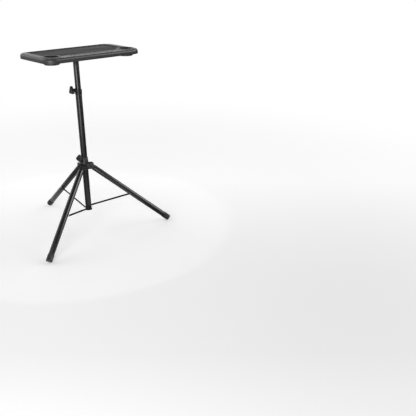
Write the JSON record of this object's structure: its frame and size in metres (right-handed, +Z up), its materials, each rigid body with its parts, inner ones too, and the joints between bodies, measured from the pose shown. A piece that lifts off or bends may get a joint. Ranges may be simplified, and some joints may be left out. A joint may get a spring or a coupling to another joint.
{
  "type": "tripod tray desk for a bike trainer",
  "caption": "Moulded tray with cup holders and a tablet groove on a telescoping pole with a clamp knob, over a folding tripod with flat braces.",
  "frame": {"origin": "on the floor, under the centre of the box round the desk, with the pole axis 117 mm behind it towards the rider", "axes": "+Z up, +Y the way the rider faces, +X to the rider's right, with the tray's long side along X"},
  "size_m": [0.8502, 0.7411, 1.041],
  "materials": {
    "tray_plastic": "fine-grained charcoal moulding",
    "mat_rubber": "matt non-slip sheet",
    "coated_steel": "satin black powder coat",
    "zinc_steel": "zinc plated",
    "black_plastic": "black moulding",
    "foot_rubber": "matt black rubber"
  },
  "bodies": {
    "lower_pole": {"outer_tube": "coated_steel", "base_cap": "black_plastic", "height_collar": "black_plastic", "brace_left_rivet": "zinc_steel", "brace_right_rivet": "zinc_steel", "brace_front_rivet": "zinc_steel"},
    "upper_pole": {"inner_pole": "coated_steel", "pole_glide": "black_plastic"},
    "tray": {"tray_shell": "tray_plastic", "tray_mat": "mat_rubber", "cup_holder_left": "tray_plastic", "cup_holder_right": "tray_plastic", "tray_socket": "coated_steel", "tray_screw_1": "zinc_steel", "tray_screw_2": "zinc_steel", "tray_screw_3": "zinc_steel", "tray_screw_4": "zinc_steel", "socket_clamp_screw": "zinc_steel"},
    "height_stud": {"height_stud": "zinc_steel"},
    "height_knob": {"height_knob": "black_plastic"},
    "hub": {"leg_hub": "coated_steel", "leg_left_pin": "coated_steel", "leg_right_pin": "coated_steel", "leg_front_pin": "coated_steel"},
    "hub_stud": {"hub_stud": "zinc_steel"},
    "hub_knob": {"hub_knob": "black_plastic"},
    "leg_left": {"leg_left_tube": "coated_steel", "leg_left_knuckle": "black_plastic", "foot_left": "foot_rubber"},
    "leg_right": {"leg_right_tube": "coated_steel", "leg_right_knuckle": "black_plastic", "foot_right": "foot_rubber"},
    "leg_front": {"leg_front_tube": "coated_steel", "leg_front_knuckle": "black_plastic", "foot_front": "foot_rubber"},
    "brace_left": {"brace_left": "coated_steel", "brace_left_pivot": "zinc_steel"},
    "brace_right": {"brace_right": "coated_steel", "brace_right_pivot": "zinc_steel"},
    "brace_front": {"brace_front": "coated_steel", "brace_front_pivot": "zinc_steel"}
  },
  "joints": [
    {"name": "height_slide", "type": "slide", "parent": "lower_pole", "child": "upper_pole", "axis": [0, 0, 1], "range_m": [-0.12, 0.25]},
    {"name": "tray_swivel", "type": "hinge", "parent": "upper_pole", "child": "tray", "pos_m": [0, -0.11666, 1.039], "axis": [0, 0, 1], "range_deg": [-180, 180]},
    {"name": "height_stud_feed", "type": "slide", "parent": "lower_pole", "child": "height_stud", "axis": [-0.9969, 0.0785, 0], "range_m": [0, 0.00187]},
    {"name": "height_knob_turn", "type": "hinge", "parent": "height_stud", "child": "height_knob", "pos_m": [0, -0.11666, 0.825], "axis": [-0.9969, 0.0785, 0], "range_deg": [-10, 550]},
    {"name": "hub_slide", "type": "slide", "parent": "lower_pole", "child": "hub", "axis": [0, 0, 1], "range_m": [0, 0.3185]},
    {"name": "hub_stud_feed", "type": "slide", "parent": "hub", "child": "hub_stud", "axis": [-0.9976, -0.0698, 0], "range_m": [0, 0.00187]},
    {"name": "hub_knob_turn", "type": "hinge", "parent": "hub_stud", "child": "hub_knob", "pos_m": [0, -0.11666, 0.43963], "axis": [-0.9976, -0.0698, 0], "range_deg": [-10, 550]},
    {"name": "leg_left_fold", "type": "hinge", "parent": "hub", "child": "leg_left", "pos_m": [-0.03118, -0.13466, 0.38603], "axis": [0.5, -0.866, 0], "range_deg": [0, 46.7]},
    {"name": "leg_right_fold", "type": "hinge", "parent": "hub", "child": "leg_right", "pos_m": [0.03118, -0.13466, 0.38603], "axis": [0.5, 0.866, 0], "range_deg": [0, 46.7]},
    {"name": "leg_front_fold", "type": "hinge", "parent": "hub", "child": "leg_front", "pos_m": [0, -0.08066, 0.38603], "axis": [-1, 0, 0], "range_deg": [0, 46.7]},
    {"name": "brace_left_fold", "type": "hinge", "parent": "lower_pole", "child": "brace_left", "pos_m": [0.0089, -0.13207, 0.1319], "axis": [-0.5, 0.866, 0], "range_deg": [0, 67.2]},
    {"name": "brace_right_fold", "type": "hinge", "parent": "lower_pole", "child": "brace_right", "pos_m": [0.0089, -0.10124, 0.1319], "axis": [-0.5, -0.866, 0], "range_deg": [0, 67.2]},
    {"name": "brace_front_fold", "type": "hinge", "parent": "lower_pole", "child": "brace_front", "pos_m": [-0.0178, -0.11666, 0.1319], "axis": [1, 0, 0], "range_deg": [0, 67.2]}
  ],
  "couplings": [
    {"joint": "height_knob_turn", "follows": "height_stud_feed", "rad_per_m": 5026.5},
    {"joint": "hub_knob_turn", "follows": "hub_stud_feed", "rad_per_m": 5026.5},
    {"joint": "leg_left_fold", "follows": "hub_slide", "rad_per_m": 2.5534},
    {"joint": "leg_right_fold", "follows": "hub_slide", "rad_per_m": 2.5534},
    {"joint": "leg_front_fold", "follows": "hub_slide", "rad_per_m": 2.5534},
    {"joint": "brace_left_fold", "follows": "hub_slide", "rad_per_m": 3.675},
    {"joint": "brace_right_fold", "follows": "hub_slide", "rad_per_m": 3.675},
    {"joint": "brace_front_fold", "follows": "hub_slide", "rad_per_m": 3.675}
  ]
}
